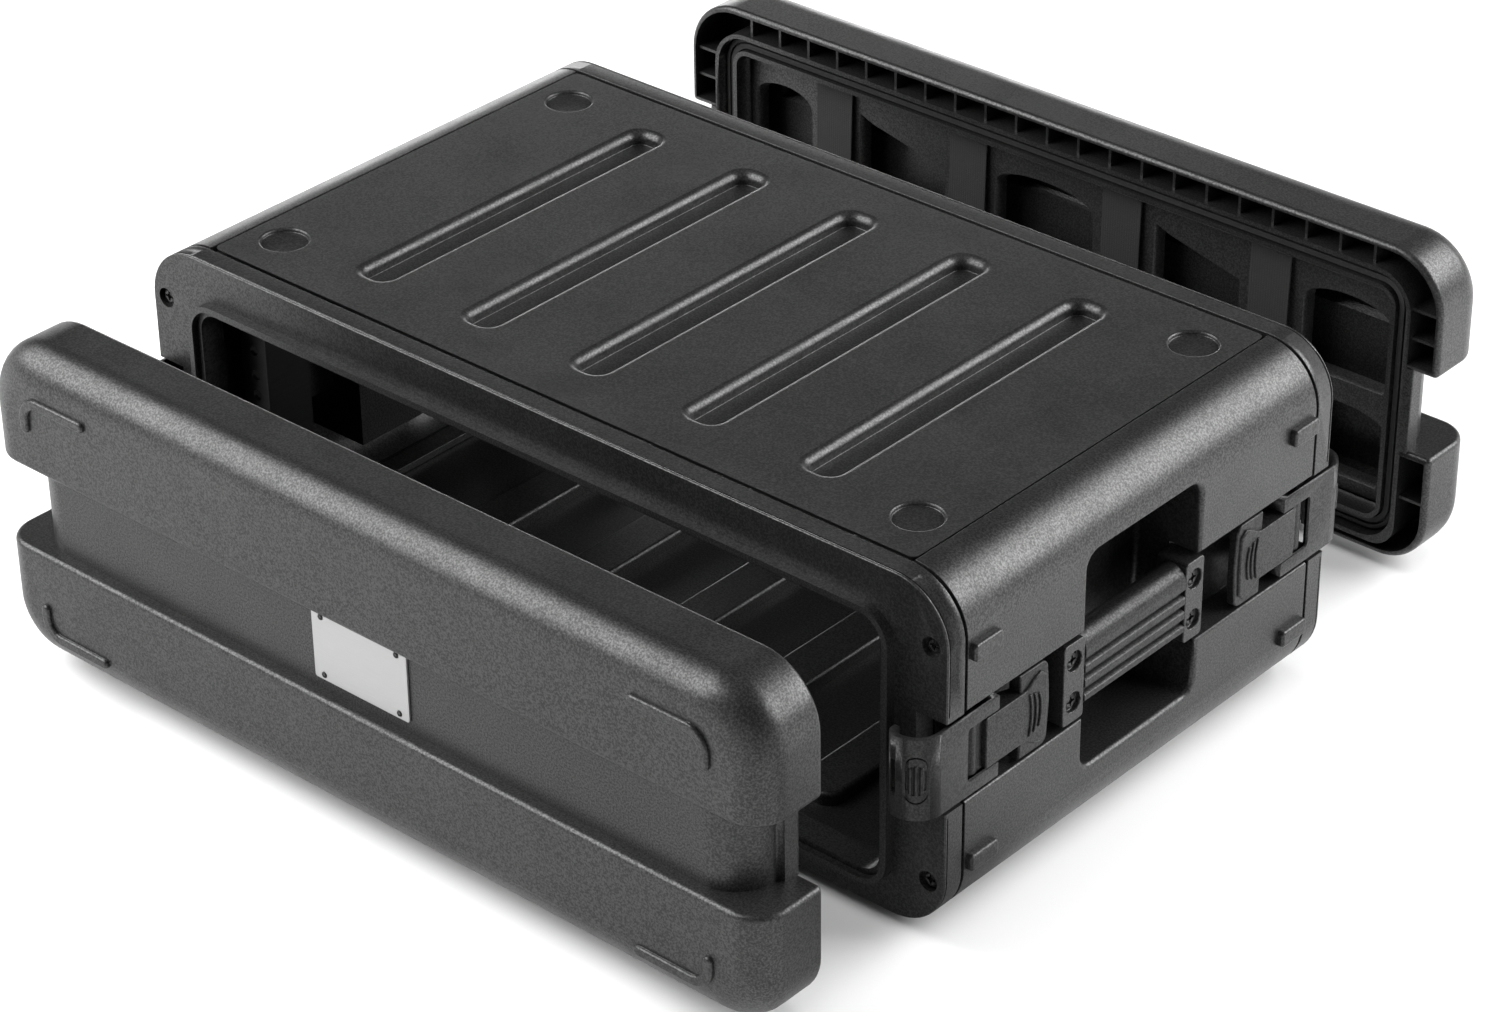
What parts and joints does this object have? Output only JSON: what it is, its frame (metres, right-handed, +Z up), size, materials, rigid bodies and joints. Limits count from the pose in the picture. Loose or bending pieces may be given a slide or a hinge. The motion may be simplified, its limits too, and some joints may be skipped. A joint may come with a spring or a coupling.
{
  "type": "equipment rack case",
  "caption": "Shallow moulded case for rack-mounted equipment, open front and rear, with two lift-off covers, side latches and handles.",
  "frame": {"origin": "centre of the whole part's footprint, at the bottom of the feet, with both covers standing off as stored", "axes": "+X to the right-hand side, +Z up, -Y towards the front cover, +Y towards the rear cover"},
  "size_m": [0.579, 0.6214, 0.2094],
  "materials": {
    "shell_plastic": "fine moulded grain, satin",
    "latch_plastic": "satin",
    "rubber": "matt",
    "steel": "zinc plated",
    "black_steel": "black oxide screws",
    "plate_metal": "brushed, blank",
    "webbing": "woven flat strap",
    "liner": "thermoformed sheet, matt"
  },
  "bodies": {
    "body": {"front_frame": "shell_plastic", "rear_frame": "shell_plastic", "top_panel": "shell_plastic", "bottom_panel": "shell_plastic", "right_side_shell": "shell_plastic", "left_side_shell": "shell_plastic", "front_right_upper_frame_screw": "black_steel", "front_right_lower_frame_screw": "black_steel", "front_right_foot": "rubber", "front_right_rack_rail": "steel", "front_right_latch_pin": "steel", "front_left_upper_frame_screw": "black_steel", "front_left_lower_frame_screw": "black_steel", "front_left_foot": "rubber", "front_left_rack_rail": "steel", "front_left_latch_pin": "steel", "rear_right_upper_frame_screw": "black_steel", "rear_right_lower_frame_screw": "black_steel", "rear_right_foot": "rubber", "rear_right_rack_rail": "steel", "rear_right_latch_pin": "steel", "rear_left_upper_frame_screw": "black_steel", "rear_left_lower_frame_screw": "black_steel", "rear_left_foot": "rubber", "rear_left_rack_rail": "steel", "rear_left_latch_pin": "steel", "right_handle_grip": "latch_plastic", "right_handle_front_bracket": "shell_plastic", "right_handle_front_upper_screw": "black_steel", "right_handle_front_lower_screw": "black_steel", "right_handle_rear_bracket": "shell_plastic", "right_handle_rear_upper_screw": "black_steel", "right_handle_rear_lower_screw": "black_steel", "left_handle_grip": "latch_plastic", "left_handle_front_bracket": "shell_plastic", "left_handle_front_upper_screw": "black_steel", "left_handle_front_lower_screw": "black_steel", "left_handle_rear_bracket": "shell_plastic", "left_handle_rear_upper_screw": "black_steel", "left_handle_rear_lower_screw": "black_steel"},
    "front_cover": {"front_cover_shell": "shell_plastic", "front_cover_gasket": "rubber", "name_plate": "plate_metal"},
    "rear_cover": {"rear_cover_shell": "shell_plastic", "rear_cover_gasket": "rubber", "rear_cover_left_liner": "liner", "rear_cover_right_liner": "liner", "liner_strap_1": "webbing", "liner_strap_2": "webbing", "liner_strap_3": "webbing", "liner_strap_4": "webbing"},
    "front_right_lever": {"front_right_latch_lever": "latch_plastic"},
    "front_right_strap": {"front_right_latch_strap": "latch_plastic"},
    "front_left_lever": {"front_left_latch_lever": "latch_plastic"},
    "front_left_strap": {"front_left_latch_strap": "latch_plastic"},
    "rear_right_lever": {"rear_right_latch_lever": "latch_plastic"},
    "rear_right_strap": {"rear_right_latch_strap": "latch_plastic"},
    "rear_left_lever": {"rear_left_latch_lever": "latch_plastic"},
    "rear_left_strap": {"rear_left_latch_strap": "latch_plastic"}
  },
  "joints": [
    {"name": "front_cover_slide", "type": "slide", "parent": "body", "child": "front_cover", "axis": [0, 1, 0], "range_m": [0, 0.0835]},
    {"name": "rear_cover_slide", "type": "slide", "parent": "body", "child": "rear_cover", "axis": [0, -1, 0], "range_m": [0, 0.1151]},
    {"name": "front_right_latch_lever_hinge", "type": "hinge", "parent": "body", "child": "front_right_lever", "pos_m": [0.279, -0.1545, 0.108], "axis": [0, 0, -1], "range_deg": [-4, 85]},
    {"name": "front_right_latch_strap_hinge", "type": "hinge", "parent": "front_right_lever", "child": "front_right_strap", "pos_m": [0.276, -0.142, 0.108], "axis": [0, 0, -1], "range_deg": [-106.25, 5]},
    {"name": "front_left_latch_lever_hinge", "type": "hinge", "parent": "body", "child": "front_left_lever", "pos_m": [-0.279, -0.1545, 0.108], "axis": [0, 0, 1], "range_deg": [-4, 85]},
    {"name": "front_left_latch_strap_hinge", "type": "hinge", "parent": "front_left_lever", "child": "front_left_strap", "pos_m": [-0.276, -0.142, 0.108], "axis": [0, 0, 1], "range_deg": [-106.25, 5]},
    {"name": "rear_right_latch_lever_hinge", "type": "hinge", "parent": "body", "child": "rear_right_lever", "pos_m": [0.279, 0.1229, 0.108], "axis": [0, 0, 1], "range_deg": [-4, 85]},
    {"name": "rear_right_latch_strap_hinge", "type": "hinge", "parent": "rear_right_lever", "child": "rear_right_strap", "pos_m": [0.276, 0.1104, 0.108], "axis": [0, 0, 1], "range_deg": [-106.25, 5]},
    {"name": "rear_left_latch_lever_hinge", "type": "hinge", "parent": "body", "child": "rear_left_lever", "pos_m": [-0.279, 0.1229, 0.108], "axis": [0, 0, -1], "range_deg": [-4, 85]},
    {"name": "rear_left_latch_strap_hinge", "type": "hinge", "parent": "rear_left_lever", "child": "rear_left_strap", "pos_m": [-0.276, 0.1104, 0.108], "axis": [0, 0, -1], "range_deg": [-106.25, 5]}
  ],
  "couplings": [
    {"joint": "front_right_latch_strap_hinge", "follows": "front_right_latch_lever_hinge", "ratio": -1.25},
    {"joint": "front_left_latch_strap_hinge", "follows": "front_left_latch_lever_hinge", "ratio": -1.25},
    {"joint": "rear_right_latch_strap_hinge", "follows": "rear_right_latch_lever_hinge", "ratio": -1.25},
    {"joint": "rear_left_latch_strap_hinge", "follows": "rear_left_latch_lever_hinge", "ratio": -1.25}
  ]
}
